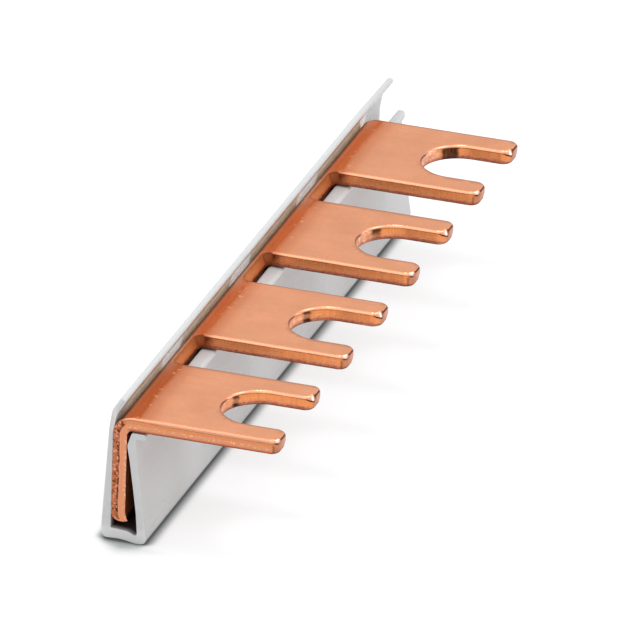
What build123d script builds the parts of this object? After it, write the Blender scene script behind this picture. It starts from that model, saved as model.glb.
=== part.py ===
# Fork-type jumper bar for a row of screw terminals.
# Two pieces: a copper comb, stamped from strip and bent to an L section,
# and the open plastic profile that clips over its vertical leg.
#
# Millimetres, +Z up.  X runs from the back of the profile to the fork tips,
# Y along the bar.  The origin is at the centre of the bottom of the
# bounding box.  Section coordinates (s, h) are measured from the outer face
# of the copper leg (s, towards the tips) and from the top face of the forks
# (h, upwards); x_leg and z_fork carry them into the part's frame.
import os
from math import cos, radians, sin
from build123d import *

os.makedirs("parts", exist_ok=True)

# ---------------------------------------------------------------- dimensions
poles = 4                 # forks on the bar
pitch = 17.8              # spacing of the terminals
fork_width = 11.66        # across both prongs
slot_width = 6.60         # open U slot for the terminal screw
slot_reach = 6.80         # from the tips to the bottom of the slot
reach = 14.25             # leg's outer face to the fork tips
copper = 1.20             # strip thickness
leg_drop = 9.30           # fork top face to the leg's lower edge
bend_in = 0.45            # inner bend radius
bend_out = bend_in + copper
notch_angle = 70.5        # how far round the bend the gaps' root lies, degrees
notch_radius = 0.65       # corners at the root of a gap
tip_outer = 0.90          # prong tip corner, outer side
tip_inner = 1.00          # prong tip corner, slot side
die_roll = 0.15           # rounded upper edge left by the punch

profile_length = 70.6     # plastic profile
bar_length = (poles - 1) * pitch + fork_width
back_out = 0.82           # profile's rearmost point behind the leg
base_drop = 11.25         # fork top face to the lowest point of the profile

# ------------------------------------------------------------- placing
x_leg = (back_out - reach) / 2
z_fork = base_drop
y_near = -profile_length / 2

near_plane = Plane.XZ.offset(-y_near)      # section plane at the near end


def sec(s, h):
    return (x_leg + s, z_fork + h)


# ------------------------------------------------------------- copper comb
with BuildPart() as comb:
    # L section, extruded to the bar's full length
    with BuildSketch(near_plane):
        with BuildLine():
            l1 = Polyline(sec(bend_out, 0), sec(reach, 0), sec(reach, -copper),
                          sec(bend_out, -copper))
            a1 = RadiusArc(l1 @ 1, sec(copper, -bend_out), -bend_in)
            l2 = Polyline(a1 @ 1, sec(copper, -leg_drop), sec(0, -leg_drop),
                          sec(0, -bend_out))
            a2 = RadiusArc(l2 @ 1, l1 @ 0, bend_out)
        make_face()
    extrude(amount=-bar_length)

    # gaps between the forks, punched in the flat strip back into what becomes
    # the bend: their root face stands square to the bent sheet
    gap = pitch - fork_width
    turn = radians(notch_angle)
    for i in range(poles - 1):
        y_gap = y_near + fork_width + gap / 2 + i * pitch
        root_plane = Plane(origin=(x_leg + bend_out, y_gap, z_fork - bend_out),
                           x_dir=(sin(turn), 0, cos(turn)),
                           z_dir=(-cos(turn), 0, sin(turn)))
        with BuildSketch(root_plane):
            with Locations((10.0, 0)):
                RectangleRounded(20.0, gap, notch_radius)
        extrude(amount=bend_out + 1.5, mode=Mode.SUBTRACT)
        with BuildSketch(root_plane):
            with Locations((10.0, 0)):
                RectangleRounded(20.0, gap, notch_radius)
        extrude(amount=-6.0, mode=Mode.SUBTRACT)

    # open U slots
    slot_centre = reach - slot_reach + slot_width / 2
    with BuildSketch(Plane.XY.offset(z_fork + 0.5)):
        for i in range(poles):
            y_fork = y_near + fork_width / 2 + i * pitch
            with Locations((x_leg + slot_centre, y_fork)):
                Circle(slot_width / 2)
            with Locations((x_leg + slot_centre + 5.0, y_fork)):
                Rectangle(10.0, slot_width)
    extrude(amount=-(copper + 1.0), mode=Mode.SUBTRACT)

    # prong tips: outer corners, then the corners at the slot's mouth
    tip_edges = (comb.edges().filter_by(Axis.Z)
                 .filter_by_position(Axis.X, x_leg + reach - 0.01, x_leg + reach + 0.01))
    outer_y = []
    inner_y = []
    for i in range(poles):
        y0 = y_near + i * pitch
        outer_y += [y0, y0 + fork_width]
        inner_y += [y0 + (fork_width - slot_width) / 2, y0 + (fork_width + slot_width) / 2]
    outer = [e for e in tip_edges if min(abs(e.center().Y - y) for y in outer_y) < 0.05]
    fillet(outer, radius=tip_outer)
    tip_edges = (comb.edges().filter_by(Axis.Z)
                 .filter_by_position(Axis.X, x_leg + reach - 0.01, x_leg + reach + 0.01))
    inner = [e for e in tip_edges if min(abs(e.center().Y - y) for y in inner_y) < 0.05]
    fillet(inner, radius=tip_inner)

    # punch roll along the upper outline of each fork
    top_faces = (comb.faces().filter_by(Axis.Z)
                 .filter_by_position(Axis.Z, z_fork - 0.01, z_fork + 0.01))
    roll = []
    for f in top_faces:
        for e in f.edges():
            if e.center().X > x_leg + bend_out + 0.02:
                roll.append(e)
    fillet(roll, radius=die_roll)
comb.part.label = "copper_comb"

# ------------------------------------------------------------- plastic profile
# Closed outline of the extrusion, from the tip of the top lip down the back,
# round the floor, up the front wall to its flange and back inside.
with BuildPart() as profile:
    with BuildSketch(near_plane):
        with BuildLine():
            FilletPolyline(
                sec(0.68, 1.75), sec(-0.12, 0.40), sec(-0.34, -1.20), sec(-0.82, -9.80),
                sec(-0.80, -11.08), sec(0.85, -11.01), sec(2.25, -11.28), sec(3.14, -11.14),
                sec(2.84, -9.40), sec(2.42, -5.96), sec(2.09, -3.68), sec(1.97, -1.88),
                sec(2.86, -1.90), sec(2.86, -1.38), sec(1.60, -1.36), sec(1.22, -2.55),
                sec(1.46, -3.85), sec(1.83, -6.42), sec(2.12, -8.63), sec(2.26, -10.62),
                sec(1.40, -10.22), sec(0.00, -10.12), sec(0.00, -1.50), sec(0.05, -1.18),
                sec(0.27, -0.05), sec(0.44, 0.30), sec(1.15, 1.42),
                radius=(0.24, 0.9, 2.0, 1.0,
                        0.42, 3.0, 2.0, 0.38,
                        3.0, 8.0, 8.0, 0.12,
                        0.24, 0.24, 0.20, 0.60,
                        3.0, 8.0, 5.0, 0.20,
                        1.0, 0.10, 0.4, 0.5,
                        0.5, 0.8, 0.24),
                close=True,
            )
        make_face()
    extrude(amount=-profile_length)
profile.part.label = "insulating_profile"

export_step(comb.part, "parts/copper_comb.step")
export_step(profile.part, "parts/insulating_profile.step")
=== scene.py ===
import bpy
import math
import numpy as np
from mathutils import Matrix, Vector, noise
from mathutils.geometry import delaunay_2d_cdt

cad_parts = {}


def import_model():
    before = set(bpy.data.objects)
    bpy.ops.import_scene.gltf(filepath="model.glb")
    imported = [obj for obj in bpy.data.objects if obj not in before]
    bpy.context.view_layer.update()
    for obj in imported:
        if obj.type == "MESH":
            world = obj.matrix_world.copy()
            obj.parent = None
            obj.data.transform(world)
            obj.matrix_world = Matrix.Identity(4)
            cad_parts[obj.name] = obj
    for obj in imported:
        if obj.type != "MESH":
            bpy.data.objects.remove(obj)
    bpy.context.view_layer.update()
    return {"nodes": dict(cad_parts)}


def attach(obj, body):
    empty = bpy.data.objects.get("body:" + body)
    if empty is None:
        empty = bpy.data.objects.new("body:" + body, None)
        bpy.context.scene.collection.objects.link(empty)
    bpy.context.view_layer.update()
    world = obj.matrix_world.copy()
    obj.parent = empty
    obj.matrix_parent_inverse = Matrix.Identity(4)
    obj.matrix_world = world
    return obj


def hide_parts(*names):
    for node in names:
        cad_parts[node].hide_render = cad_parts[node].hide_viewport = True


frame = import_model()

MM = 0.001

# ---------------------------------------------------------------- sizes, mm
# (s, h) are measured from the outer face of the copper leg and from the top
# of the forks; y runs along the bar from its near end.
POLES, PITCH = 4, 17.8
FORK_W, SLOT_W, SLOT_REACH, REACH = 11.66, 6.60, 6.80, 14.25
T, LEG_DROP, BEND_IN = 1.20, 9.30, 0.45
BEND_OUT = BEND_IN + T
NOTCH_ANGLE, NOTCH_R = 70.5, 0.65
TIP_OUT, TIP_IN = 0.90, 1.00
BAR_L = (POLES - 1) * PITCH + FORK_W
PROFILE_L = 70.6
BACK_OUT, BASE = 0.82, 11.25
X0, Y0, Z0 = (BACK_OUT - REACH) / 2, -PROFILE_L / 2, BASE


def world(s, y, h):
    return ((X0 + s) * MM, (Y0 + y) * MM, (Z0 + h) * MM)


def fbm(x, y, z, octaves=3):
    """Smooth noise, about -1 to 1."""
    v, a = 0.0, 1.0
    for _ in range(octaves):
        v += a * noise.noise(Vector((x, y, z)))
        x, y, z, a = x * 2.03, y * 2.03, z * 2.03, a * 0.5
    return v


# ------------------------------------------------------------ outline tools
def corner_arc(p0, p1, p2, r, step):
    """Points of the round that replaces the corner p1."""
    p0, p1, p2 = map(np.array, (p0, p1, p2))
    a, b = p0 - p1, p2 - p1
    a, b = a / np.linalg.norm(a), b / np.linalg.norm(b)
    cosang = float(np.clip(a @ b, -1, 1))
    half = math.acos(cosang) / 2
    if r <= 0 or half > math.pi / 2 - 1e-4:
        return [p1]
    d = r / math.tan(half)
    t0, t1 = p1 + a * d, p1 + b * d
    c = p1 + (a + b) / np.linalg.norm(a + b) * (r / math.sin(half))
    v0, v1 = t0 - c, t1 - c
    turn = math.atan2(v0[0] * v1[1] - v0[1] * v1[0], float(v0 @ v1))
    n = max(3, int(abs(turn) * r / step) + 1)
    out = []
    for i in range(n + 1):
        t = turn * i / n
        out.append(c + np.array([v0[0] * math.cos(t) - v0[1] * math.sin(t),
                                 v0[0] * math.sin(t) + v0[1] * math.cos(t)]))
    return out


def rounded(points, radii, step):
    out = []
    n = len(points)
    for i in range(n):
        out += corner_arc(points[i - 1], points[i], points[(i + 1) % n], radii[i], step)
    return out


def resample(points, spacing):
    """Splits the long runs of a closed outline; spacing may depend on place."""
    out = []
    n = len(points)
    for i in range(n):
        a, b = np.array(points[i]), np.array(points[(i + 1) % n])
        d = float(np.linalg.norm(b - a))
        if d < 1e-6:
            continue
        k = max(1, int(math.ceil(d / spacing((a + b) / 2, a, b))))
        for j in range(k):
            out.append(a + (b - a) * j / k)
    return np.array(out)


def outline_normals(p):
    """Outward normals of a closed counter-clockwise outline."""
    e = np.roll(p, -1, 0) - p
    e /= np.linalg.norm(e, axis=1)[:, None]
    n = np.stack([e[:, 1], -e[:, 0]], 1)
    m = n + np.roll(n, 1, 0)
    m /= np.linalg.norm(m, axis=1)[:, None]
    return m


def inside(points, poly, clear):
    """Which points lie in the outline and at least clear away from it."""
    a, b = poly, np.roll(poly, -1, 0)
    keep = np.zeros(len(points), bool)
    for lo in range(0, len(points), 2000):
        p = points[lo:lo + 2000]
        x, y = p[:, 0][:, None], p[:, 1][:, None]
        cross = (a[:, 1] > y) != (b[:, 1] > y)
        with np.errstate(divide="ignore", invalid="ignore"):
            xi = (b[:, 0] - a[:, 0]) * (y - a[:, 1]) / (b[:, 1] - a[:, 1]) + a[:, 0]
        odd = (np.where(cross, x < xi, False).sum(1) % 2) == 1
        ab = b - a
        t = ((x - a[:, 0]) * ab[:, 0] + (y - a[:, 1]) * ab[:, 1]) / (ab ** 2).sum(1)
        t = np.clip(t, 0, 1)
        d = np.hypot(x - (a[:, 0] + t * ab[:, 0]), y - (a[:, 1] + t * ab[:, 1])).min(1)
        keep[lo:lo + 2000] = odd & (d > clear)
    return keep


def fill(ring, extra):
    """Triangles over an outline with extra points inside, as indices with the outline's own points first and in their
    order, then the extra points."""
    pts = [Vector(p) for p in ring] + [Vector(p) for p in extra]
    n = len(ring)
    edges = [(i, (i + 1) % n) for i in range(n)]
    v, _, f, ov, _, _ = delaunay_2d_cdt(pts, edges, [], 1, 1e-7, True)
    back = {}
    for new, olds in enumerate(ov):
        for o in olds:
            back[o] = new
    assert len(v) == len(pts) and all(i in back for i in range(len(pts))), "outline points met"
    to_old = {new: old for old, new in back.items()}
    tris = [[to_old[i] for i in t] for t in f]
    p = np.array([list(q) for q in pts])
    mid = np.array([p[t].mean(0) for t in tris])
    keep = inside(mid, np.array(ring), 0.0)
    return [t for t, k in zip(tris, keep) if k]


# ------------------------------------------------------------- copper comb
# The comb is drawn as its flat blank: u runs up the leg and out along the
# forks, w is the depth below the outer face, and bend() folds it.
U1 = LEG_DROP - BEND_OUT
U2 = U1 + math.pi / 2 * (BEND_OUT - T / 2)
U_TIP = U2 + REACH - BEND_OUT
U_ROOT = U1 + (U2 - U1) * NOTCH_ANGLE / 90
U_SLOT = U_TIP - SLOT_REACH + SLOT_W / 2


def bend(u, w):
    if u <= U1:
        return w, u - LEG_DROP
    if u < U2:
        a = (u - U1) / (U2 - U1) * math.pi / 2
        r = BEND_OUT - w
        return BEND_OUT - r * math.cos(a), -BEND_OUT + r * math.sin(a)
    return BEND_OUT + (u - U2), -w


def comb_outline():
    pts, rad = [(0.0, 0.0)], [0.10]
    side = (FORK_W - SLOT_W) / 2
    for k in range(POLES):
        y = k * PITCH
        if k:
            pts += [(U_ROOT, y)]
            rad += [NOTCH_R]
        pts += [(U_TIP, y), (U_TIP, y + side)]
        rad += [TIP_OUT, TIP_IN]
        # bottom of the slot as a chain of short chords
        m = 40
        for i in range(m + 1):
            a = math.pi / 2 + math.pi * i / m
            pts.append((U_SLOT + SLOT_W / 2 * math.cos(a), y + FORK_W / 2 - SLOT_W / 2 * math.sin(a)))
            rad.append(0.0)
        pts += [(U_TIP, y + FORK_W - side), (U_TIP, y + FORK_W)]
        rad += [TIP_IN, TIP_OUT]
        if k < POLES - 1:
            pts.append((U_ROOT, y + FORK_W))
            rad.append(NOTCH_R)
    pts.append((0.0, BAR_L))
    rad.append(0.10)
    p = rounded(pts, rad, 0.06)

    def spacing(mid, a, b):
        if U1 - 0.2 < mid[0] < U2 + 0.2 and (mid[1] < 0.05 or mid[1] > BAR_L - 0.05):
            return 0.075
        if mid[0] < 0.02:
            return 0.10 if min(mid[1], BAR_L - mid[1]) < 2.0 else 0.40
        return 0.10 if mid[0] < U1 or mid[1] > 0.05 else 0.085
    # long runs through the bend are cut at its ends first
    q = []
    n = len(p)
    for i in range(n):
        a, b = np.array(p[i]), np.array(p[(i + 1) % n])
        q.append(a)
        if abs(b[0] - a[0]) > 3 and min(a[0], b[0]) < U1:
            cuts = sorted([U1 - 0.2, U2 + 0.2], reverse=bool(b[0] < a[0]))
            q += [a + (b - a) * (c - a[0]) / (b[0] - a[0]) for c in cuts]
    return resample(q, spacing)


# painted dark reflections on the slot walls: (from, to) in degrees round the slot's end, width of the soft edge, and
# whether the mark runs the whole depth or is two spots
SLOT_DARK_REFLECTIONS = [(51, 63, 3.0, "spots"), (45, 58, 3.0, "spots"), (39, 55, 3.5, "fade"), (20, 45, 3.0, "full")]
# how pale and mottled the slots' ends are, from the near fork to the far one
SLOT_ARC = (0.40, 0.55, 0.90, 1.0)


def slot_angle(u, y):
    """Degrees round the end of the slot nearest to a point, and the slot's number."""
    k = min(POLES - 1, max(0, int(y / PITCH)))
    yc = k * PITCH + FORK_W / 2
    if abs(y - yc) > SLOT_W / 2 + 0.2 or u < U_SLOT - SLOT_W / 2 - 0.2 or u > U_SLOT + 0.8:
        return None, k
    return math.degrees(math.atan2(U_SLOT - u, y - yc)), k


def soft(x, a, b):
    t = min(1.0, max(0.0, (x - a) / (b - a)))
    return t * t * (3 - 2 * t)


def bell(x, mid, width):
    return math.exp(-((x - mid) / width) ** 2)


def slot_dark_reflection(u, y, w):
    """How dark the painted reflection is at a point of a slot's wall."""
    for k, (a, b, edge, kind) in enumerate(SLOT_DARK_REFLECTIONS):
        yc = k * PITCH + FORK_W / 2
        if abs(y - yc) > SLOT_W / 2 + 0.4 or u < U_SLOT - SLOT_W / 2 - 0.4:
            continue
        t = math.degrees(math.atan2(U_SLOT - u, y - yc))
        t += 2.5 * fbm(w * 3.0, k, 9.0)
        across = soft(t, a - edge, a + edge) * (1 - soft(t, b - edge, b + edge))
        if kind == "full":
            return across * (1.0 - 0.10 * soft(w, 0.5, 1.1)) * soft(w, 0.16, 0.24)
        if kind == "fade":
            return across * (1.0 - 0.68 * soft(w, 0.34, 1.0)) * soft(w, 0.16, 0.24)
        spots = 0.95 * bell(w, 0.29, 0.13) + 0.90 * bell(w, 0.98, 0.12) + 0.50
        return across * min(1.0, spots) * soft(w, 0.16, 0.24)
    return 0.0


# the crushed corner where the sheared end meets the punched side:
# (u, w, radius, outward height) of each dent or bump at the near end
CORNER = [(8.53, 0.37, 0.13, -0.13), (8.33, 0.30, 0.16, 0.030), (8.12, 0.22, 0.16, -0.035),
          (8.82, 0.30, 0.12, 0.025), (8.62, 0.62, 0.16, 0.020), (8.24, 0.62, 0.20, -0.030), (7.85, 0.34, 0.15, 0.020)]


# how the drawn-in edge swells round the prongs' corners: angle round the corner
# from the prong's side, depth factor, width factor
SWELL_SLOT = ((0, 20, 33, 60, 65, 72, 90), (1.0, 1.15, 1.80, 2.65, 2.70, 0.62, 0.55), (1.0, 1.10, 1.45, 1.85, 1.80, 0.60, 0.55))
SWELL_OUT = ((0, 22, 40, 58, 66, 90), (1.0, 1.15, 1.50, 1.60, 0.62, 0.55), (1.0, 1.10, 1.25, 1.25, 0.60, 0.55))
SWELL_BACK = ((0, 40, 80, 90), (1.0, 1.1, 0.70, 0.55), (1.0, 1.0, 0.70, 0.55))


def make_comb():
    ring = comb_outline()
    nrm = outline_normals(ring)
    n = len(ring)
    s_len = np.concatenate([[0], np.cumsum(np.linalg.norm(np.diff(ring, axis=0), axis=1))])
    u, y = ring[:, 0], ring[:, 1]
    at_end = ((y < 0.02) | (y > BAR_L - 0.02)) & (u < U2 + 0.9)
    near_end = (y < 0.02) & at_end
    # the change from a sheared end to a punched fork side is gradual
    end_cut = at_end * np.clip((U2 - 0.35 - u) / 0.45, 0, 1)
    slit = ((u < 0.02) | ((u < 0.12) & (y < 0.12)) | ((u < 0.12) & (y > BAR_L - 0.12))).astype(float)
    fork = 1 - np.maximum(end_cut, slit)
    # how far a point belongs to the root of a gap, in the bend
    root = np.array([1 - soft(uu, U_ROOT + 0.40, U_ROOT + 0.66) if uu > U1 else 0.0 for uu in u]) * (1 - at_end)

    # the prongs' corners: angle from the prong's side, and which corner it is
    swell_w, swell_n = np.ones(n), np.ones(n)
    tip_dark, tip_face, kink, bold, gleam, tip_in, tip_far = (np.zeros(n) for _ in range(7))
    arc, nook, backline = np.zeros(n), np.zeros(n), np.zeros(n)
    for i in range(n):
        t, k = slot_angle(u[i], y[i])
        if t is not None:
            arc[i] = soft(t, 42, 62) * (1 - soft(t, 108, 128)) * SLOT_ARC[k]
            # painted shade in the crease at the slot's end
            bold[i] = 1.0 * soft(t, 74, 84) * (1 - soft(t, 112, 128))
            swell_n[i] = 1 - 0.40 * soft(t, 62, 86) * (1 - soft(t, 130, 160))
            swell_w[i] = 1 - 0.25 * soft(t, 62, 86) * (1 - soft(t, 130, 160))
        # painted shade: the side walls darken into the gaps' corners
        nook[i] = (nrm[i, 1] < -0.25) * (y[i] > 0.5) * (u[i] < U2 + 2.2) * (1 - soft(u[i], U_ROOT + 0.35, U_ROOT + 1.7)) * (u[i] > U1)
        # painted dark reflection along the edges that face the far end
        backline[i] = soft(nrm[i, 1], 0.25, 0.8) * (u[i] > U2 - 0.2)
        if u[i] < U_TIP - 1.02:
            continue
        yr = (y[i] + 1.0) % PITCH - 1.0
        far_prong = yr > FORK_W / 2
        front = nrm[i, 1] < 0                    # the side that faces the near end
        theta = math.degrees(math.atan2(nrm[i, 0], abs(nrm[i, 1]) + 1e-9))
        table = SWELL_BACK if not front else (SWELL_SLOT if far_prong else SWELL_OUT)
        # the tips lean: their lower edge stands back a little
        tip_in[i] = math.sin(math.radians(max(0.0, theta))) ** 2
        tip_far[i] = (0.07, 0.0, 0.03, 0.03)[min(POLES - 1, int((y[i] + 1.0) / PITCH))] * tip_in[i] * far_prong
        swell_w[i] = np.interp(theta, table[0], table[1])
        swell_n[i] = np.interp(theta, table[0], table[2])
        # painted dark reflection along the tips' top edge
        a, b = (63, 70) if front else (75, 82)
        tip_dark[i] = soft(theta, a, b)
        tip_face[i] = soft(theta, 20, 34) if not far_prong else soft(theta, 40, 70)
        # a dark line at the kink; painted shade in the bold crease
        if not far_prong and front:
            kink[i] = bell(theta, 25.0, 6.0)
            bold[i] = bell(theta, 44.0, 14.0)
        if far_prong and front:
            bold[i] = soft(theta, 4, 30) * (1 - soft(theta, 62, 68))
        # painted highlight on the corner facets
        gleam[i] = (bell(theta, 56.0, 9.0) if far_prong else 0.8 * bell(theta, 50.0, 12.0)) if front else 0.0
    first_side = (y < 0.25) * (1 - end_cut) * (u > U2 - 0.4) * (1 - np.clip(tip_face * 1.5, 0, 1))
    swell_w = swell_w + 0.50 * first_side * np.clip((u - U2 - 0.3) / 3.0, 0, 1) * (1 - tip_dark)

    # depth and outward offset of each ring of the edge, from the outer face in:
    # drawn-in edge, crease, burnished band, torn band, small burr
    roll_w, roll_n = 0.20, 0.25
    rows = []                                    # (w, offset, kind)
    for i in range(8):
        a = i / 7
        rows.append((roll_w * a ** 2.5, -roll_n * (1 - a), "roll"))
    for w in (0.225, 0.27, 0.34, 0.42, 0.50, 0.58, 0.66, 0.74):
        rows.append((w, 0.0, "shear"))
    for w, o in ((0.82, 0.004), (0.89, 0.012), (0.96, 0.020), (1.03, 0.026), (1.09, 0.028), (1.14, 0.026), (1.18, 0.018)):
        rows.append((w, o, "break"))
    rows.append((1.205, 0.000, "lip"))
    rows.append((1.200, -0.060, "lip"))

    verts, flats, attr = [], [], {"depth": [], "wall": [], "cut": [], "run": [], "seam": [], "stain": [], "root": [],
                                   "tipline": [], "tipface": [], "kink": [], "bold": [], "gleam": [], "side": [],
                                   "arc": [], "nook": [], "backline": []}
    broad = {}                                   # vertex -> +1 outer face, -1 inner face

    def put(uu, yy, w, **at):
        # burr: the leg's bottom inner corner is dragged inwards at both ends
        near = min(yy, BAR_L - yy)
        if uu < 0.95 and near < 0.6:
            w += 0.25 * soft(w / T, 0.25, 1.0) * ((0.95 - max(uu, -0.1)) / 1.0) ** 2 * (1 - soft(near, 0.0, 0.6))
        s, h = bend(uu, w)
        # the torn end's bumps and the tips stay within the part's length and reach
        y_in = yy if yy > 0.05 else 0.05 * math.exp((yy - 0.05) / 0.05)
        verts.append(world(min(s, REACH - 0.0005), y_in, h))
        flats.append((uu, yy))
        for k in attr:
            attr[k].append(at.get(k, 0.0))
        return len(verts) - 1

    rings = []
    for w, off, kind in rows:
        row = []
        for i in range(n):
            uu, yy = ring[i]
            o, ww = off, w
            sl, ec = s_len[i], end_cut[i]
            jag = fbm(sl * 1.9, w * 3.0, 3.1) * 0.5 + fbm(sl * 6.0, w * 5.0, 7.7) * 0.5
            if slit[i]:
                # bottom edge of the leg: sagging, with a well rounded outer corner near the ends
                near = min(yy, BAR_L - yy)
                big = 1 - soft(near, 0.3, 2.0)
                rw = 0.08 + 0.27 * big
                if kind == "roll":
                    a = ww / roll_w
                    ww, o = rw * a, off * rw / roll_n
                else:
                    ww = rw + (w - roll_w) * (T - rw) / (T - roll_w)
                o += (0.13 * big + 0.02) * soft(ww, rw * 0.4, 0.75) * (1 - 0.75 * soft(ww, 0.85, 1.2)) + 0.008 * jag
            elif kind == "roll":
                size = 1.0 + 0.07 * fbm(sl * 0.30, 0.0, 1.0)
                o *= size * (1 - 0.72 * ec) * (1 - 0.86 * root[i]) * swell_n[i]
                ww *= size * (1 - 0.55 * ec) * (1 - 0.60 * root[i]) * swell_w[i]
            elif kind == "shear":
                o += 0.0022 * fbm(sl * 2.5, w, 5.0) * fork[i] + 0.0012 * fbm(sl * 9.0, w * 0.6, 8.0) * fork[i]
            elif kind == "break":
                o = off + 0.016 * jag * min(1.0, (w - 0.7) / 0.2)
            elif kind == "lip":
                ww += 0.014 * max(0.0, jag) * fork[i]
            if kind in ("shear", "break", "lip") and not slit[i] and swell_w[i] != 1.0:
                ww = ww + (swell_w[i] - 1.0) * roll_w * (T - w) / (T - roll_w) if w < T else ww
            if ec > 0 and kind in ("shear", "break", "lip"):
                # sheared end: torn, hollow outer half; flat burnished inner half
                edge = 0.60 + 0.045 * fbm(uu * 1.3, 0.0, 12.0) + 0.03 * fbm(uu * 5.0, 0.0, 13.0)
                torn = -0.055 + 0.040 * fbm(uu * 4.5, w * 7.0, 2.0) + 0.026 * fbm(uu * 13.0, w * 17.0, 4.0)
                flat_o = -0.004 + 0.004 * fbm(uu * 0.8, w * 6.0, 6.0) + 0.010 * max(0.0, fbm(uu * 5.0, w * 8.0, 16.0) - 0.35)
                mixed = soft(w, edge - 0.05, edge + 0.05)
                o_end = torn * (1 - mixed) + flat_o * mixed
                if kind == "lip":
                    o_end = -0.010 + (off if off < -0.05 else 0.0) + 0.012 * fbm(uu * 3.5, 0.0, 21.0)
                o = o * (1 - ec) + o_end * ec
            if near_end[i] and not slit[i]:
                for cu, cw, cr, ch in CORNER:
                    d2 = ((uu - cu) / cr) ** 2 + ((w - cw) / cr) ** 2
                    if d2 < 9:
                        o += ch * math.exp(-d2)
            o -= tip_far[i] + 0.19 * tip_in[i] * soft(w, 0.55, 1.30)
            facing = nrm[i]
            # painted shade along the crease under the drawn-in edge
            seam = 0.55 + 0.45 * soft(facing[0], 0.55, 0.95)
            # strongest on the fork tips, faint where an edge faces the back
            seam *= 1 - 0.6 * soft(facing[1], 0.3, 0.9)
            row.append(put(uu + facing[0] * o, yy + facing[1] * o, ww,
                           depth=min(1.0, w / T),
                           wall=(w / roll_w if kind == "roll" else (1.0 if kind != "lip" else 0.7)),
                           cut=ec, run=sl, seam=seam * fork[i] * (1 - root[i]), root=root[i],
                           tipline=tip_dark[i] * (1.0 if kind == "roll" and w > 0 else 0.0), tipface=tip_face[i],
                           kink=kink[i], bold=bold[i], gleam=gleam[i], side=first_side[i],
                           arc=arc[i], nook=nook[i], backline=backline[i] * (1.0 if kind == "roll" and w > 0 else (0.7 if w == 0 else 0.0)),
                           stain=slot_dark_reflection(uu, yy, w) if fork[i] > 0.5 else 0.0))
        rings.append(row)
    for v in rings[0]:
        broad[v] = 1.0
    for v in rings[-1]:
        broad[v] = -1.0

    faces = []
    for a, b in zip(rings, rings[1:]):
        for i in range(n):
            j = (i + 1) % n
            faces.append((a[i], b[i], b[j], a[j]))

    # the two broad faces
    def cover(row, w, side, du, dy, clear):
        flat = np.array([flats[v] for v in row])
        us = list(np.arange(du / 2, U1 - 0.1, du)) + list(np.linspace(U1 - 0.05, U2 + 0.05, 22)) + list(np.arange(U2 + 0.05 + du, U_TIP, du))
        grid = np.array([(a, b) for a in us for b in np.arange(dy / 2, BAR_L, dy)])
        grid = grid + 0.02 * np.array([[math.sin(i * 12.9898), math.cos(i * 78.233)] for i in range(len(grid))]) * np.array([[0.0, 1.0]])
        grid = grid[inside(grid, flat, clear)]
        tris = fill(flat, grid)
        idx = list(row)
        for a, b in grid:
            idx.append(put(a, b, w, depth=0.0 if side > 0 else 1.0))
            broad[idx[-1]] = side
        for t in tris:
            t = [idx[i] for i in t]
            faces.append(tuple(t) if side > 0 else tuple(reversed(t)))

    cover(rings[0], 0.0, 1.0, 0.45, 0.45, 0.12)
    cover(rings[-1], T, -1.0, 0.60, 0.60, 0.16)

    # shading normals: the mesh's own on the edges, the bent sheet's on the broad faces
    p = np.array(verts)
    normal = np.zeros_like(p)
    for size in (3, 4):
        f = np.array([q for q in faces if len(q) == size])
        if len(f):
            c = np.cross(p[f[:, 1]] - p[f[:, 0]], p[f[:, 2]] - p[f[:, 0]]) if size == 3 else \
                np.cross(p[f[:, 2]] - p[f[:, 0]], p[f[:, 3]] - p[f[:, 1]])
            for k in range(size):
                np.add.at(normal, f[:, k], c)
    normal /= np.maximum(np.linalg.norm(normal, axis=1), 1e-20)[:, None]
    for v, side in broad.items():
        uu = flats[v][0]
        a = min(1.0, max(0.0, (uu - U1) / (U2 - U1))) * math.pi / 2
        if side < 0 and uu < 1.0:
            continue
        normal[v] = (-math.cos(a) * side, 0.0, math.sin(a) * side)
    return verts, faces, attr, normal


def add_mesh(name, verts, faces, attr, normal=None):
    me = bpy.data.meshes.new(name)
    me.from_pydata(verts, [], faces)
    for k, v in attr.items():
        a = me.attributes.new(k, "FLOAT", "POINT")
        a.data.foreach_set("value", np.array(v, np.float32))
    me.polygons.foreach_set("use_smooth", [True] * len(me.polygons))
    if normal is not None:
        me.normals_split_custom_set_from_vertices([tuple(q) for q in normal])
    ob = bpy.data.objects.new(name, me)
    bpy.context.scene.collection.objects.link(ob)
    return ob


verts, faces, attr, normal = make_comb()
comb = add_mesh("comb_detail", verts, faces, attr, normal)

# ---------------------------------------------------------- plastic profile
PROFILE = [
    (0.68, 1.75, 0.24), (-0.12, 0.40, 0.9), (-0.34, -1.20, 2.0), (-0.82, -9.80, 1.0),
    (-0.80, -11.08, 0.52), (0.85, -11.01, 3.0), (2.25, -11.28, 2.0), (3.14, -11.14, 0.52),
    (2.84, -9.40, 3.0), (2.42, -5.96, 8.0), (2.09, -3.68, 8.0), (1.97, -1.88, 0.12),
    (2.86, -1.90, 0.24), (2.86, -1.38, 0.24), (1.60, -1.36, 0.20), (1.22, -2.55, 0.60),
    (1.46, -3.85, 3.0), (1.83, -6.42, 8.0), (2.12, -8.63, 5.0), (2.26, -10.62, 0.20),
    (1.40, -10.22, 1.0), (0.00, -10.12, 0.10), (0.00, -1.50, 0.4), (0.05, -1.18, 0.5),
    (0.27, -0.05, 0.5), (0.44, 0.30, 0.8), (1.15, 1.42, 0.24),
]


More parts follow.
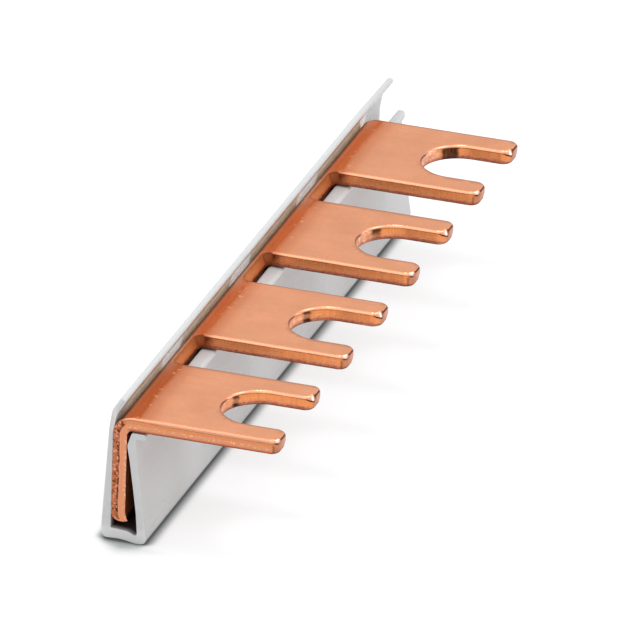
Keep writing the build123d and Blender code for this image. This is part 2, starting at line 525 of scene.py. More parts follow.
def make_profile():
    p = rounded([(a, b) for a, b, _ in PROFILE], [r for _, _, r in PROFILE], 0.05)
    p = resample(p, lambda mid, a, b: 0.30)
    if ((p[:, 0] * np.roll(p[:, 1], -1) - np.roll(p[:, 0], -1) * p[:, 1]).sum()) < 0:
        p = p[::-1].copy()
    nrm = outline_normals(p)
    n = len(p)
    # the walls of the channel that holds the comb's leg
    channel, lip, under, crown, foot = [], [], [], [], []
    for (s, h), (ns, nh) in zip(p, nrm):
        wall = h < -1.6 and -0.05 < s < 2.35 and (s - 1.0) * ns < -0.05
        base = -10.8 < h < -9.9 and -0.05 < s < 2.35 and nh > 0.3
        channel.append(1.0 if wall or base else 0.0)
        facing_in = soft(ns, 0.3, 0.6) * soft(nh, 0.2, -0.05) if s < 1.3 else 0.0
        lip.append(soft(h, -1.42, -1.24) * (1 - soft(h, 0.15, 0.40)) * facing_in)
        under.append(soft(h, 0.15, 0.40) * facing_in)
        # painted light: the lip's top and the flange's edge are lighter and cooler
        crown.append(soft(h, 0.2, 1.0) * (1 - facing_in) if s < 1.4 else 0.55 * soft(h, -2.05, -1.9) * soft(s, 1.85, 2.1))
        # painted light: the cut ends are lighter at the bottom and the top
        foot.append(max(soft(h, -9.6, -10.2), 0.9 * soft(h, -0.3, 0.3)))
    verts, faces, normal = [], [], []
    attr = {"end": [], "inner": [], "lip": [], "under": [], "crown": [], "foot": []}
    edge = 0.08
    turn = [math.radians(a) for a in (0, 18, 36, 54, 72, 90)]
    near = [(edge * (1 - math.cos(t)), edge * (1 - math.sin(t)), -math.cos(t), math.sin(t)) for t in turn]
    stations = list(near)                        # (y, inset, lengthwise and sideways part of the normal)
    round_off = 0.80                             # plan round of the flange's far corner
    stations += [(v, 0.0, 0.0, 1.0) for v in np.linspace(edge, PROFILE_L - round_off, 100)[1:]]
    stations += [(v, 0.0, 0.0, 1.0) for v in np.linspace(PROFILE_L - round_off, PROFILE_L - edge, 18)[1:-1]]
    stations += [(PROFILE_L - v, inset, -along, out) for v, inset, along, out in reversed(near)]
    rings = []
    for yy, inset, along, out in stations:
        row = []
        into = min(1.0, min(yy, PROFILE_L - yy) / 0.7)
        for i in range(n):
            s, h = p[i] - nrm[i] * inset
            # the far end is cut a little out of square, and its flange is rounded off
            q = min(1.0, max(0.0, (yy - PROFILE_L + round_off) / round_off))
            if s > 2.05 and h > -2.2:
                s -= (s - 2.05) / 0.81 * (0.30 * (1 - math.sqrt(1 - min(q, 0.995) ** 2)) + 0.48 * soft(yy, 60.5, 64.5))
            if h > -0.6 and s < 1.4:
                # the lip's far end is rounded off and leans out a touch
                e = min(0.995, max(0.0, (yy - PROFILE_L + 0.26) / 0.26))
                s -= nrm[i, 0] * 0.17 * (1 - math.sqrt(1 - e * e))
                h -= nrm[i, 1] * 0.17 * (1 - math.sqrt(1 - e * e))
                s += 0.14 * soft(yy, 60.0, PROFILE_L) * soft(h, -0.6, 1.2)
            skew = 0.22 * min(1.0, max(0.0, (h + 1.4) / 3.1)) * max(0.0, (yy - PROFILE_L + 6.0) / 6.0)
            verts.append(world(s, yy - skew, max(h, 0.0025 - BASE)))
            normal.append((nrm[i, 0] * out, along, nrm[i, 1] * out))
            attr["end"].append(1.0 - out)
            past = 1 - soft(yy, BAR_L, BAR_L + 1.0)   # beyond the comb the channel's painted shade and the lip's painted light and tint stop
            attr["inner"].append(channel[i] * into * past)
            attr["lip"].append(lip[i] * past * (0.25 + 0.75 * soft(yy, 1.0, 4.0)))
            attr["under"].append(under[i] * past)
            attr["crown"].append(crown[i] * (1 - 0.7 * soft(yy, 60.0, 66.0)))
            attr["foot"].append(foot[i])
            row.append(len(verts) - 1)
        rings.append(row)
    for a, b in zip(rings, rings[1:]):
        for i in range(n):
            j = (i + 1) % n
            faces.append((a[i], b[i], b[j], a[j]))
    flat = np.array([p[i] - nrm[i] * edge for i in range(n)])
    tris = [t for t in fill(flat, [])            # none with its three points in line
            if abs((flat[t[1]] - flat[t[0]]) @ np.array([[0, 1], [-1, 0]]) @ (flat[t[2]] - flat[t[0]])) > 1e-6]
    for row, flip in ((rings[0], False), (rings[-1], True)):
        for t in tris:
            t = [row[i] for i in t]
            faces.append(tuple(reversed(t)) if flip else tuple(t))
    return verts, faces, attr, normal


verts, faces, attr, normal = make_profile()
shell = add_mesh("profile_detail", verts, faces, attr, normal)


# ---------------------------------------------------------------- materials
def new_material(name):
    m = bpy.data.materials.new(name)
    m.use_nodes = True
    nt = m.node_tree
    nt.nodes.clear()
    return m, nt


def node(nt, kind, **inputs):
    nd = nt.nodes.new(kind)
    for k, v in inputs.items():
        nd.inputs[k].default_value = v
    return nd


def mix_rgb(nt, fac, a, b, blend="MIX"):
    nd = nt.nodes.new("ShaderNodeMix")
    nd.data_type = "RGBA"
    nd.blend_type = blend
    for sock, v in ((nd.inputs[0], fac), (nd.inputs[6], a), (nd.inputs[7], b)):
        if isinstance(v, (int, float)):
            sock.default_value = v
        elif isinstance(v, tuple):
            sock.default_value = v
        else:
            nt.links.new(v, sock)
    return nd.outputs[2]


def math_node(nt, op, a, b=None, c=None, clamp=False):
    nd = nt.nodes.new("ShaderNodeMath")
    nd.operation = op
    nd.use_clamp = clamp
    for sock, v in zip(nd.inputs, (a, b, c)):
        if v is None:
            continue
        if isinstance(v, (int, float)):
            sock.default_value = v
        else:
            nt.links.new(v, sock)
    return nd.outputs[0]


def attribute(nt, name):
    nd = nt.nodes.new("ShaderNodeAttribute")
    nd.attribute_name = name
    return nd.outputs["Fac"]


def ramp(nt, fac, stops):
    nd = nt.nodes.new("ShaderNodeValToRGB")
    el = nd.color_ramp.elements
    while len(el) < len(stops):
        el.new(0.5)
    for e, (pos, col) in zip(el, stops):
        e.position = pos
        e.color = col if len(col) == 4 else (*col, 1.0)
    nt.links.new(fac, nd.inputs[0])
    return nd.outputs[0]


def noise_tex(nt, vec, scale, detail=3.0, rough=0.5, stretch=None):
    if stretch is not None:
        mp = nt.nodes.new("ShaderNodeMapping")
        mp.inputs["Scale"].default_value = stretch
        nt.links.new(vec, mp.inputs["Vector"])
        vec = mp.outputs[0]
    nd = nt.nodes.new("ShaderNodeTexNoise")
    nd.inputs["Scale"].default_value = scale
    nd.inputs["Detail"].default_value = detail
    nd.inputs["Roughness"].default_value = rough
    nt.links.new(vec, nd.inputs["Vector"])
    return nd.outputs["Fac"]


def combine(nt, x, y, z=0.0):
    nd = nt.nodes.new("ShaderNodeCombineXYZ")
    for sock, v in zip(nd.inputs, (x, y, z)):
        if isinstance(v, (int, float)):
            sock.default_value = v
        else:
            nt.links.new(v, sock)
    return nd.outputs[0]


def remap(nt, v, a, b, c=0.0, d=1.0, smooth=False):
    nd = nt.nodes.new("ShaderNodeMapRange")
    nd.interpolation_type = "SMOOTHSTEP" if smooth else "LINEAR"
    for name, x in (("From Min", a), ("From Max", b), ("To Min", c), ("To Max", d)):
        nd.inputs[name].default_value = x
    nt.links.new(v, nd.inputs["Value"])
    return nd.outputs["Result"]


def copper_material():
    m, nt = new_material("copper_rolled")
    L = nt.links.new
    coord = nt.nodes.new("ShaderNodeTexCoord").outputs["Object"]
    depth, wall, cut = attribute(nt, "depth"), attribute(nt, "wall"), attribute(nt, "cut")
    run, seam, stain = attribute(nt, "run"), attribute(nt, "seam"), attribute(nt, "stain")
    sep = nt.nodes.new("ShaderNodeSeparateXYZ")
    L(coord, sep.inputs[0])

    # rolled faces: pale copper, faintly mottled, with fine lines along the forks
    blotch = noise_tex(nt, coord, 330.0, 5.0, 0.62)
    cloud = noise_tex(nt, coord, 95.0, 3.0, 0.5)
    lines = noise_tex(nt, coord, 2600.0, 3.0, 0.6, stretch=(0.07, 1.0, 1.0))
    speck = noise_tex(nt, coord, 4200.0, 3.0, 0.7)
    face = mix_rgb(nt, remap(nt, blotch, 0.32, 0.68), (0.738, 0.289, 0.135, 1), (0.842, 0.361, 0.185, 1))
    face = mix_rgb(nt, remap(nt, cloud, 0.35, 0.70, 0.0, 0.45), face, (0.83, 0.375, 0.195, 1))
    face = mix_rgb(nt, remap(nt, lines, 0.56, 0.80, 0.0, 0.30), face, (0.62, 0.215, 0.092, 1))
    face = mix_rgb(nt, remap(nt, speck, 0.30, 0.70, 0.16, 0.0), face, (0.50, 0.17, 0.075, 1))
    # the bend is a deeper orange, partly its stretched skin and partly painted reflection, with painted shade darkest
    # just under the plastic lip; it ends in a ragged line where the forks turn flat, and fades out along them
    s_mm = math_node(nt, "MULTIPLY_ADD", sep.outputs[0], 1000.0, -X0)
    wave = noise_tex(nt, coord, 190.0, 2.0, 0.5)
    fringe = noise_tex(nt, coord, 1500.0, 3.0, 0.65)
    s_wavy = math_node(nt, "MULTIPLY_ADD", fringe, -0.36, math_node(nt, "ADD", s_mm, 0.18))
    s_wavy = math_node(nt, "MULTIPLY_ADD", wave, -0.9, math_node(nt, "ADD", s_wavy, 0.45))
    s_in = math_node(nt, "MULTIPLY", math_node(nt, "SUBTRACT", s_mm, 0.5), 1.0 / 1.5, clamp=True)
    bend_tone_and_shade = ramp(nt, s_in, [(0.0, (0.28, 0.105, 0.045)), (0.133, (0.17, 0.056, 0.018)), (0.267, (0.77, 0.310, 0.172)), (0.40, (1.0, 0.345, 0.148)),
                           (0.533, (0.84, 0.262, 0.086)), (0.667, (0.72, 0.183, 0.055)), (0.80, (0.64, 0.145, 0.033)), (0.933, (0.555, 0.118, 0.021)), (1.0, (0.53, 0.115, 0.021))])
    bend_tone_and_shade = mix_rgb(nt, remap(nt, wave, 0.35, 0.65, 0.0, 0.16), bend_tone_and_shade, (0.70, 0.270, 0.110, 1))
    # paler and pinker towards each fork's far side
    fork_y = math_node(nt, "MULTIPLY", math_node(nt, "MULTIPLY_ADD", sep.outputs[1], 1000.0, -Y0), 1.0 / PITCH)
    fork_y = math_node(nt, "MULTIPLY", math_node(nt, "FRACT", fork_y), PITCH)
    far_side = math_node(nt, "MULTIPLY", remap(nt, fork_y, 7.5, 11.2, smooth=True), remap(nt, s_mm, 0.7, 0.9))
    far_side = math_node(nt, "MULTIPLY", far_side, remap(nt, s_mm, 1.1, 1.8, 0.60, 0.0))
    bend_tone_and_shade = mix_rgb(nt, far_side, bend_tone_and_shade, (0.80, 0.450, 0.290, 1))
    # it is a little deeper and reaches a little further on the near fork
    bend_tone_and_shade = mix_rgb(nt, remap(nt, sep.outputs[1], (Y0 + 11.6) * MM, (Y0 + 12.2) * MM, 0.8, 0.0), bend_tone_and_shade, (0.84, 0.82, 0.80, 1), "MULTIPLY")
    first = remap(nt, sep.outputs[1], (Y0 + 11.6) * MM, (Y0 + 12.2) * MM, 0.20, 0.0)
    warm = ramp(nt, math_node(nt, "MULTIPLY", math_node(nt, "SUBTRACT", math_node(nt, "SUBTRACT", s_wavy, first), 1.5), 1.0 / 3.0, clamp=True),
                [(0.0, (1.0, 1.0, 1.0)), (0.125, (0.97, 0.97, 0.97)), (0.20, (0.62, 0.62, 0.62)), (0.30, (0.42, 0.42, 0.42)),
                 (0.45, (0.30, 0.30, 0.30)), (0.62, (0.10, 0.10, 0.10)), (0.95, (0.0, 0.0, 0.0))])
    face = mix_rgb(nt, warm, face, bend_tone_and_shade)
    # bright flecks along the line where the bend ends
    fleck = math_node(nt, "MULTIPLY", remap(nt, fringe, 0.565, 0.635), remap(nt, math_node(nt, "ABSOLUTE", math_node(nt, "SUBTRACT", s_mm, 2.15)), 0.05, 0.50, 0.6, 0.0))
    face = mix_rgb(nt, fleck, face, (0.92, 0.50, 0.30, 1))

    # painted shade: the leg's inner face, down in the channel, is darkened
    leg_channel_shade = math_node(nt, "MULTIPLY", remap(nt, depth, 0.95, 0.99), remap(nt, math_node(nt, "MULTIPLY", sep.outputs[2], 1000.0), Z0 - 2.6, Z0 - 2.0, 1.0, 0.0))
    face = mix_rgb(nt, math_node(nt, "MULTIPLY", leg_channel_shade, 0.30), face, (0.220, 0.066, 0.034, 1))

    # punched edges: drawn-in edge, crease with painted shade, burnished band, torn band
    streak = noise_tex(nt, combine(nt, math_node(nt, "MULTIPLY", run, 5.0), math_node(nt, "MULTIPLY", depth, 0.7)), 1.0, 3.0, 0.6)
    ragged = noise_tex(nt, combine(nt, math_node(nt, "MULTIPLY", run, 2.6), math_node(nt, "MULTIPLY", depth, 2.0)), 1.0, 4.0, 0.65)
    long_lines = noise_tex(nt, combine(nt, math_node(nt, "MULTIPLY", run, 0.45), math_node(nt, "MULTIPLY", depth, 9.0), 3.0), 1.0, 3.0, 0.6)
    band = math_node(nt, "ADD", depth, math_node(nt, "MULTIPLY_ADD", ragged, 0.30, -0.15))
    wall_col = ramp(nt, band, [(0.0, (0.84, 0.360, 0.190)), (0.16, (0.84, 0.355, 0.185)), (0.21, (0.80, 0.265, 0.085)), (0.40, (0.80, 0.265, 0.085)),
                               (0.62, (0.80, 0.300, 0.120)), (0.74, (0.78, 0.300, 0.145)), (0.80, (0.50, 0.160, 0.085)),
                               (0.92, (0.40, 0.125, 0.070)), (0.97, (0.15, 0.042, 0.026))])
    wall_col = mix_rgb(nt, remap(nt, streak, 0.50, 0.72, 0.0, 0.36), wall_col, (0.46, 0.135, 0.050, 1))
    wall_col = mix_rgb(nt, remap(nt, long_lines, 0.52, 0.70, 0.0, 0.50), wall_col, (0.84, 0.370, 0.215, 1))
    pits = noise_tex(nt, combine(nt, math_node(nt, "MULTIPLY", run, 9.0), math_node(nt, "MULTIPLY", depth, 8.0), 7.0), 1.0, 2.0, 0.6)
    pit = math_node(nt, "MULTIPLY", remap(nt, pits, 0.58, 0.66), remap(nt, band, 0.45, 0.80, 0.0, 0.85))
    wall_col = mix_rgb(nt, pit, wall_col, (0.10, 0.028, 0.016, 1))
    # painted shade in the crease where the drawn-in edge meets the burnished band
    gate = noise_tex(nt, combine(nt, math_node(nt, "MULTIPLY", run, 1.1), 0.0, 5.0), 1.0, 3.0, 0.7)
    off = math_node(nt, "ABSOLUTE", math_node(nt, "ADD", math_node(nt, "MULTIPLY_ADD", ragged, 0.045, -0.0225), math_node(nt, "SUBTRACT", depth, 0.195)))
    crease = math_node(nt, "MULTIPLY", remap(nt, off, 0.012, 0.050, 1.0, 0.0, smooth=True), math_node(nt, "MULTIPLY", math_node(nt, "MULTIPLY", seam, remap(nt, gate, 0.36, 0.58, 0.45, 1.0)), remap(nt, attribute(nt, "arc"), 0.1, 0.6, 1.0, 0.25)))
    # the near end's long side: paler, mottled, dotted with dark and bright specks
    side = attribute(nt, "side")
    blur = noise_tex(nt, combine(nt, math_node(nt, "MULTIPLY", run, 1.6), math_node(nt, "MULTIPLY", depth, 5.0), 13.0), 1.0, 4.0, 0.7)
    side_band = math_node(nt, "ADD", depth, math_node(nt, "MULTIPLY_ADD", blur, 0.16, -0.08))
    side_col = ramp(nt, side_band, [(0.0, (0.71, 0.332, 0.192)), (0.17, (0.69, 0.304, 0.173)), (0.24, (0.66, 0.237, 0.100)), (0.44, (0.66, 0.233, 0.092)),
                                    (0.54, (0.67, 0.280, 0.146)), (0.78, (0.67, 0.277, 0.150)), (0.88, (0.54, 0.182, 0.088)), (0.97, (0.30, 0.075, 0.042))])
    glint = math_node(nt, "MULTIPLY", remap(nt, noise_tex(nt, combine(nt, math_node(nt, "MULTIPLY", run, 4.0), math_node(nt, "MULTIPLY", depth, 6.0), 17.0), 1.0, 2.0, 0.6), 0.58, 0.66),
                      remap(nt, math_node(nt, "ABSOLUTE", math_node(nt, "SUBTRACT", depth, 0.62)), 0.05, 0.22, 0.85, 0.0))
    side_col = mix_rgb(nt, glint, side_col, (0.98, 0.62, 0.45, 1))
    wall_col = mix_rgb(nt, side, wall_col, side_col)
    wall_col = mix_rgb(nt, crease, wall_col, (0.075, 0.022, 0.012, 1))
    # the slots' ends: paler, mottled with small facets
    arc = attribute(nt, "arc")
    facet = noise_tex(nt, combine(nt, math_node(nt, "MULTIPLY", run, 2.4), math_node(nt, "MULTIPLY", depth, 2.6), 23.0), 1.0, 3.0, 0.6)
    pale = mix_rgb(nt, remap(nt, facet, 0.40, 0.52), (0.66, 0.270, 0.140, 1), (0.84, 0.430, 0.270, 1))
    pale = mix_rgb(nt, remap(nt, facet, 0.56, 0.62, 0.0, 0.9), pale, (0.98, 0.660, 0.500, 1))
    pale = mix_rgb(nt, remap(nt, band, 0.74, 0.90, 0.0, 0.85), pale, (0.46, 0.140, 0.080, 1))
    wall_col = mix_rgb(nt, math_node(nt, "MULTIPLY", arc, 0.85), wall_col, pale)
    # prong corners: painted shade in the bold crease, a dark line along the upright kink, duller tip face
    bold, kink, tipface = attribute(nt, "bold"), attribute(nt, "kink"), attribute(nt, "tipface")
    dull = mix_rgb(nt, remap(nt, ragged, 0.35, 0.65), (0.40, 0.145, 0.078, 1), (0.58, 0.240, 0.140, 1))
    dull = mix_rgb(nt, remap(nt, band, 0.82, 0.96), dull, (0.22, 0.060, 0.036, 1))
    wall_col = mix_rgb(nt, math_node(nt, "MULTIPLY", tipface, 0.85), wall_col, dull)
    upright = math_node(nt, "MULTIPLY", kink, remap(nt, depth, 0.22, 0.40, 0.0, 0.75, smooth=True))
    wall_col = mix_rgb(nt, upright, wall_col, (0.20, 0.052, 0.026, 1))
    thick = math_node(nt, "MULTIPLY", bold, remap(nt, math_node(nt, "ABSOLUTE", math_node(nt, "SUBTRACT", depth, 0.20)), 0.035, 0.075, 1.0, 0.0, smooth=True))
    wall_col = mix_rgb(nt, thick, wall_col, (0.040, 0.012, 0.008, 1))
    # painted dark reflections round the slots' ends
    slot_patch_noise = noise_tex(nt, combine(nt, math_node(nt, "MULTIPLY", run, 3.5), math_node(nt, "MULTIPLY", depth, 1.2), 9.0), 1.0, 3.0, 0.6)
    painted_slot_dark = math_node(nt, "MULTIPLY", stain, remap(nt, slot_patch_noise, 0.25, 0.60, 0.80, 1.0))
    wall_col = mix_rgb(nt, painted_slot_dark, wall_col, (0.035, 0.011, 0.007, 1))
    # the gaps' root lies in the bend: deep orange, dark red towards the inside, which is partly painted shade
    root = attribute(nt, "root")
    root_col = ramp(nt, band, [(0.0, (0.50, 0.145, 0.042)), (0.15, (0.50, 0.150, 0.044)), (0.24, (0.60, 0.250, 0.095)), (0.40, (0.63, 0.240, 0.085)), (0.60, (0.64, 0.215, 0.072)),
                               (0.76, (0.50, 0.140, 0.042)), (0.88, (0.16, 0.032, 0.014)), (1.0, (0.06, 0.014, 0.008))])
    wall_col = mix_rgb(nt, root, wall_col, root_col)
    # painted shade in the gaps' corners
    nook = math_node(nt, "MULTIPLY", attribute(nt, "nook"), 0.85)
    wall_col = mix_rgb(nt, nook, wall_col, (0.28, 0.072, 0.026, 1))
    # the drawn-in edge turns from the face's colour to a paler, pinker one, partly a painted highlight
    roll_col = mix_rgb(nt, remap(nt, wall, 0.05, 0.55, 0.0, 1.0, smooth=True), face, (0.86, 0.395, 0.258, 1))
    gleam, tipline, backline = attribute(nt, "gleam"), attribute(nt, "tipline"), attribute(nt, "backline")
    # painted highlight: glints on the prongs' corner facets
    roll_col = mix_rgb(nt, math_node(nt, "MULTIPLY", gleam, remap(nt, wall, 0.02, 0.25)), roll_col, (1.0, 0.86, 0.74, 1))
    # painted shade: the drawn-in edge loses its highlight at the gaps' roots and corners
    roll_col = mix_rgb(nt, root, roll_col, (0.50, 0.145, 0.042, 1))
    roll_col = mix_rgb(nt, nook, roll_col, (0.30, 0.085, 0.032, 1))
    # painted dark reflection along the edges that face the far end
    roll_col = mix_rgb(nt, math_node(nt, "MULTIPLY", backline, 0.92), roll_col, (0.200, 0.066, 0.034, 1))
    # painted dark reflection along the tips' top edge
    roll_col = mix_rgb(nt, math_node(nt, "MULTIPLY", tipline, 0.95), roll_col, (0.100, 0.022, 0.010, 1))
    is_wall = remap(nt, depth, 0.125, 0.170, smooth=True)
    on_edge = remap(nt, wall, 0.0, 0.02)
    col = mix_rgb(nt, is_wall, roll_col, wall_col)
    # the painted dark reflection of those edges runs onto the face's border
    col = mix_rgb(nt, on_edge, mix_rgb(nt, math_node(nt, "MULTIPLY", backline, 0.8), face, (0.300, 0.100, 0.048, 1)), col)

    # sheared ends: dark torn outer half, bright inner half
    torn = noise_tex(nt, coord, 4300.0, 3.0, 0.65)
    grit = noise_tex(nt, coord, 5600.0, 2.0, 0.6, stretch=(1.0, 1.0, 0.8))
    edge_w = noise_tex(nt, coord, 900.0, 3.0, 0.6)
    tear = math_node(nt, "ADD", depth, math_node(nt, "MULTIPLY_ADD", edge_w, 0.22, -0.11))
    end_col = ramp(nt, tear, [(0.0, (0.66, 0.250, 0.120)), (0.07, (0.56, 0.190, 0.088)), (0.20, (0.52, 0.175, 0.080)), (0.34, (0.42, 0.135, 0.060)),
                              (0.45, (0.34, 0.100, 0.045)), (0.52, (0.72, 0.310, 0.172)), (0.60, (0.65, 0.260, 0.138)), (0.88, (0.67, 0.273, 0.147)), (1.0, (0.60, 0.225, 0.113))])
    outer = remap(nt, tear, 0.44, 0.52, 1.0, 0.0)
    dark_at = math_node(nt, "MULTIPLY_ADD", remap(nt, math_node(nt, "ABSOLUTE", math_node(nt, "SUBTRACT", tear, 0.42)), 0.0, 0.16, 1.0, 0.0), -0.07, 0.54)
    dark = math_node(nt, "MULTIPLY", math_node(nt, "SUBTRACT", torn, dark_at), 16.0, clamp=True)
    end_col = mix_rgb(nt, math_node(nt, "MULTIPLY", outer, math_node(nt, "MULTIPLY", dark, 0.88)), end_col, (0.070, 0.020, 0.011, 1))
    end_col = mix_rgb(nt, math_node(nt, "MULTIPLY", outer, remap(nt, grit, 0.54, 0.62, 0.0, 0.80)), end_col, (0.86, 0.40, 0.25, 1))
    inner_specks = math_node(nt, "MULTIPLY", remap(nt, grit, 0.54, 0.62, 0.0, 0.70), remap(nt, depth, 0.78, 0.95))
    end_col = mix_rgb(nt, inner_specks, end_col, (0.98, 0.60, 0.44, 1))
    col = mix_rgb(nt, cut, col, end_col)

    bs = nt.nodes.new("ShaderNodeBsdfPrincipled")
    bs.inputs["Metallic"].default_value = 1.0
    L(col, bs.inputs["Base Color"])
    # roughness: satin faces, smoother drawn edge, dull torn band
    r_face = remap(nt, blotch, 0.3, 0.7, 0.27, 0.36)
    r_face = math_node(nt, "MULTIPLY_ADD", warm, 0.24, r_face)
    r_wall = math_node(nt, "MULTIPLY_ADD", remap(nt, band, 0.45, 0.9), 0.26, remap(nt, streak, 0.3, 0.7, 0.22, 0.32))
    r_wall = math_node(nt, "MULTIPLY_ADD", root, 0.26, r_wall)
    r_end = remap(nt, tear, 0.44, 0.56, 0.62, 0.30)
    rough = nt.nodes.new("ShaderNodeMix")
    L(on_edge, rough.inputs[0]); L(r_face, rough.inputs[2]); L(r_wall, rough.inputs[3])
    rough2 = nt.nodes.new("ShaderNodeMix")
    L(cut, rough2.inputs[0]); L(rough.outputs[0], rough2.inputs[2]); L(r_end, rough2.inputs[3])
    L(rough2.outputs[0], bs.inputs["Roughness"])
    # bump: rolling grain on the faces, torn texture on the walls
    h_face = math_node(nt, "MULTIPLY", lines, 0.0000016)
    h_face = math_node(nt, "MULTIPLY_ADD", blotch, 0.0000040, h_face)
    h_face = math_node(nt, "MULTIPLY_ADD", math_node(nt, "MULTIPLY", warm, wave), 0.000020, h_face)
    h_wall = math_node(nt, "MULTIPLY", math_node(nt, "MULTIPLY", pits, remap(nt, band, 0.5, 0.9)), 0.000016)
    h_wall = math_node(nt, "MULTIPLY_ADD", streak, 0.0000030, h_wall)
    h_end = math_node(nt, "MULTIPLY", math_node(nt, "MULTIPLY", torn, outer), 0.000030)
    hh = nt.nodes.new("ShaderNodeMix")
    L(is_wall, hh.inputs[0]); L(h_face, hh.inputs[2]); L(h_wall, hh.inputs[3])
    hh2 = nt.nodes.new("ShaderNodeMix")
    L(cut, hh2.inputs[0]); L(hh.outputs[0], hh2.inputs[2]); L(h_end, hh2.inputs[3])
    bump = nt.nodes.new("ShaderNodeBump")
    bump.inputs["Strength"].default_value = 1.0
    bump.inputs["Distance"].default_value = 1.0
    L(hh2.outputs[0], bump.inputs["Height"])
    L(bump.outputs[0], bs.inputs["Normal"])
    out = nt.nodes.new("ShaderNodeOutputMaterial")
    L(bs.outputs[0], out.inputs[0])
    return m


def plastic_material():
    m, nt = new_material("grey_extrusion")
    L = nt.links.new
    coord = nt.nodes.new("ShaderNodeTexCoord").outputs["Object"]
    end, inner = attribute(nt, "end"), attribute(nt, "inner")
    die = noise_tex(nt, coord, 1500.0, 3.0, 0.6, stretch=(1.0, 0.008, 1.0))
    cloud = noise_tex(nt, coord, 170.0, 3.0, 0.5, stretch=(1.0, 0.25, 1.0))
    sawn = noise_tex(nt, coord, 5200.0, 3.0, 0.6, stretch=(1.0, 1.0, 0.35))
    col = mix_rgb(nt, cloud, (0.462, 0.463, 0.467, 1), (0.499, 0.500, 0.505, 1))
    col = mix_rgb(nt, remap(nt, die, 0.55, 0.75, 0.0, 0.25), col, (0.430, 0.429, 0.428, 1))
    # painted light: lighter, cooler tops of the lip and the flange
    crown = attribute(nt, "crown")
    col = mix_rgb(nt, crown, col, (0.520, 0.538, 0.539, 1))
    # cut ends: a little paler, with fine saw marks
    cut_col = mix_rgb(nt, sawn, (0.471, 0.469, 0.469, 1), (0.533, 0.530, 0.530, 1))
    # painted light on the cut ends at the bottom and the top
    cut_col = mix_rgb(nt, attribute(nt, "foot"), cut_col, (0.592, 0.589, 0.589, 1))
    col = mix_rgb(nt, end, col, cut_col)
    # painted light on the lip's inside, against the copper: a warm copper bounce beside the forks, pale and brightest
    # beside the gaps, with darker mottling
    lip = attribute(nt, "lip")
    sep = nt.nodes.new("ShaderNodeSeparateXYZ")
    L(coord, sep.inputs[0])
    lip_mottle = noise_tex(nt, coord, 700.0, 3.0, 0.6)
    along = math_node(nt, "MULTIPLY", math_node(nt, "MULTIPLY_ADD", sep.outputs[1], 1000.0, -Y0 - FORK_W), 1.0 / PITCH)
    along = math_node(nt, "MULTIPLY", math_node(nt, "FRACT", along), PITCH)
    gap_near = math_node(nt, "MULTIPLY", remap(nt, along, 0.0, 0.3), remap(nt, along, 5.0, 5.6, 1.0, 0.0))
    lip_painted_light = mix_rgb(nt, gap_near, (1.0, 0.86, 0.72, 1), (1.0, 0.98, 0.96, 1))
    lip_painted_light = mix_rgb(nt, remap(nt, lip_mottle, 0.45, 0.70, 0.0, 0.35), lip_painted_light, (0.55, 0.47, 0.40, 1))
    col = mix_rgb(nt, lip, col, lip_painted_light)
    col = mix_rgb(nt, attribute(nt, "under"), col, (0.455, 0.482, 0.489, 1))
    # painted shade: the channel is darkened
    col = mix_rgb(nt, inner, col, (0.052, 0.038, 0.030, 1))
    bs = nt.nodes.new("ShaderNodeBsdfPrincipled")
    L(col, bs.inputs["Base Color"])
    bs.inputs["IOR"].default_value = 1.53
    # painted light: more subsurface glow in the lip's inside beside the gaps
    glow = math_node(nt, "MULTIPLY", lip, gap_near)
    L(math_node(nt, "MULTIPLY_ADD", glow, 0.45, math_node(nt, "MULTIPLY_ADD", lip, 0.30, 0.25)), bs.inputs["Subsurface Weight"])
    bs.inputs["Subsurface Radius"].default_value = (1.0, 0.92, 0.86)
    L(math_node(nt, "MULTIPLY_ADD", glow, 0.0020, math_node(nt, "MULTIPLY_ADD", lip, 0.0004, 0.0005)), bs.inputs["Subsurface Scale"])
    r = remap(nt, cloud, 0.3, 0.7, 0.24, 0.34)
    L(math_node(nt, "MULTIPLY_ADD", end, 0.22, r), bs.inputs["Roughness"])
    bump = nt.nodes.new("ShaderNodeBump")
    bump.inputs["Distance"].default_value = 1.0
    height = math_node(nt, "MULTIPLY", die, 0.0000030)
    L(math_node(nt, "MULTIPLY_ADD", math_node(nt, "MULTIPLY", sawn, end), 0.0000040, height), bump.inputs["Height"])
    L(bump.outputs[0], bs.inputs["Normal"])
    out = nt.nodes.new("ShaderNodeOutputMaterial")
    L(bs.outputs[0], out.inputs[0])
    return m


copper, plastic = copper_material(), plastic_material()
comb.data.materials.append(copper)
shell.data.materials.append(plastic)
for name, mat in (("copper_comb", copper), ("insulating_profile", plastic)):
    ob = frame["nodes"][name]
    if not ob.data.materials:
        ob.data.materials.append(mat)
    for sl in ob.material_slots:
        sl.material = mat
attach(comb, "root"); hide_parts("copper_comb")
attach(shell, "root"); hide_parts("insulating_profile")

# ------------------------------------------------------------------- studio
scene = bpy.context.scene
scene.view_settings.view_transform = "Standard"
scene.view_settings.look = "None"

fl = bpy.data.meshes.new("floor")
R = 6.0
fl.from_pydata([(-R, -R, 0), (R, -R, 0), (R, R, 0), (-R, R, 0)], [], [(0, 1, 2, 3)])
floor = bpy.data.objects.new("floor", fl)
floor.location.z = -0.00001
scene.collection.objects.link(floor)
m, nt = new_material("floor_white")
L = nt.links.new


def contact(distance):
    ao = nt.nodes.new("ShaderNodeAmbientOcclusion")
    ao.samples = 16
    ao.inputs["Distance"].default_value = distance
    return ao.outputs["AO"]


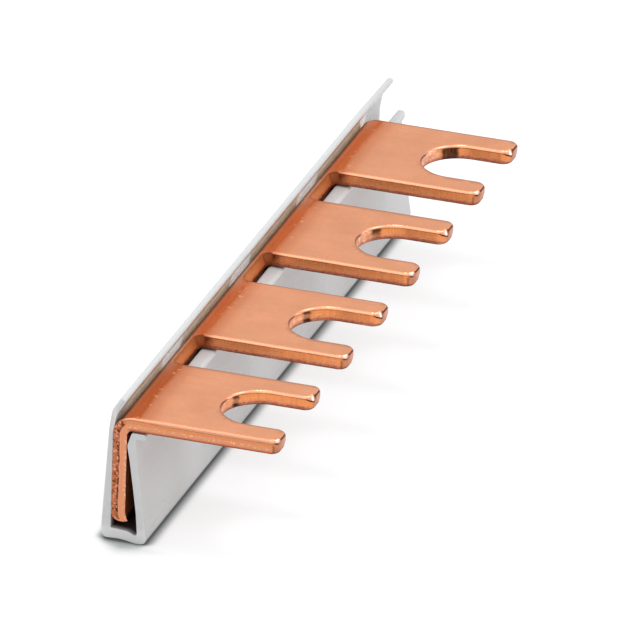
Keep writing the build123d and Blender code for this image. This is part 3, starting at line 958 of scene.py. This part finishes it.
# the shadow that hugs the profile reaches a little further off its near end
place = nt.nodes.new("ShaderNodeSeparateXYZ")
L(nt.nodes.new("ShaderNodeTexCoord").outputs["Object"], place.inputs[0])
off_end = math_node(nt, "MULTIPLY", remap(nt, place.outputs[1], -0.03615, -0.03515, 1.0, 0.0), remap(nt, place.outputs[0], -0.0085, -0.0055, 0.0, 1.0))
shade = nt.nodes.new("ShaderNodeMix")
L(off_end, shade.inputs[0]); L(contact(0.0012), shade.inputs[2]); L(contact(0.0047), shade.inputs[3])
hug = ramp(nt, shade.outputs[0], [(0.40, (0.12, 0.127, 0.129)), (0.50, (0.205, 0.211, 0.213)), (0.587, (0.300, 0.306, 0.308)), (0.673, (0.41, 0.415, 0.416)),
                                  (0.754, (0.62, 0.624, 0.624)), (0.83, (0.83, 0.833, 0.833)), (0.90, (0.95, 0.951, 0.951)), (0.97, (1.0, 1.0, 1.0))])
em = nt.nodes.new("ShaderNodeEmission")
L(hug, em.inputs["Color"])
em.inputs["Strength"].default_value = 0.605
df = nt.nodes.new("ShaderNodeBsdfDiffuse")
L(mix_rgb(nt, 1.0, hug, (0.352, 0.360, 0.366, 1), "MULTIPLY"), df.inputs["Color"])
add = nt.nodes.new("ShaderNodeAddShader")
nt.links.new(em.outputs[0], add.inputs[0])
nt.links.new(df.outputs[0], add.inputs[1])
out = nt.nodes.new("ShaderNodeOutputMaterial")
nt.links.new(add.outputs[0], out.inputs[0])
fl.materials.append(m)

w = bpy.data.worlds.new("studio")
scene.world = w
w.use_nodes = True
nt = w.node_tree
nt.nodes.clear()
tc = nt.nodes.new("ShaderNodeTexCoord")
sep = nt.nodes.new("ShaderNodeSeparateXYZ")
nt.links.new(tc.outputs["Generated"], sep.inputs[0])
sky = ramp(nt, sep.outputs[2], [(0.0, (0.52, 0.52, 0.52)), (0.12, (0.66, 0.66, 0.66)), (0.30, (0.92, 0.92, 0.92)),
                                (0.45, (1.0, 1.0, 1.0)), (0.60, (1.08, 1.08, 1.08)), (0.85, (1.22, 1.22, 1.22))])
bg = nt.nodes.new("ShaderNodeBackground")
nt.links.new(sky, bg.inputs[0])
bg.inputs["Strength"].default_value = 1.0
wo = nt.nodes.new("ShaderNodeOutputWorld")
nt.links.new(bg.outputs[0], wo.inputs[0])


def area(name, loc, target, size, energy):
    li = bpy.data.lights.new(name, "AREA")
    li.shape = "RECTANGLE"
    li.size, li.size_y = size
    li.energy = energy
    ob = bpy.data.objects.new(name, li)
    scene.collection.objects.link(ob)
    ob.location = loc
    d = Vector(target) - Vector(loc)
    ob.rotation_mode = "QUATERNION"
    ob.rotation_quaternion = d.to_track_quat("-Z", "Y")
    return ob


area("overhead", (0.0, 0.0, 0.50), (0, 0, 0), (0.10, 0.10), 0.42)
area("key", (-0.06, -0.45, 0.64), (0, 0, 0), (0.8, 0.8), 0.9)
area("right_high", (0.42, 0.06, 0.58), (0, 0, 0), (0.30, 0.30), 0.80)
area("right_low", (0.66, 0.30, 0.17), (0, 0, 0.005), (0.30, 0.15), 0.35)

# ------------------------------------------------------------------- camera
cam_data = bpy.data.cameras.new("camera")
cam = bpy.data.objects.new("camera", cam_data)
scene.collection.objects.link(cam)
cam_data.sensor_width = 36.0
cam_data.lens = 997.664
cam_data.clip_start, cam_data.clip_end = 0.05, 20.0
cam.rotation_mode = "XYZ"
cam.rotation_euler = tuple(math.radians(a) for a in (65.63689, -1.61089, 18.18122))
cam.location = (0.390978, -1.247546, 0.598520)
scene.camera = cam
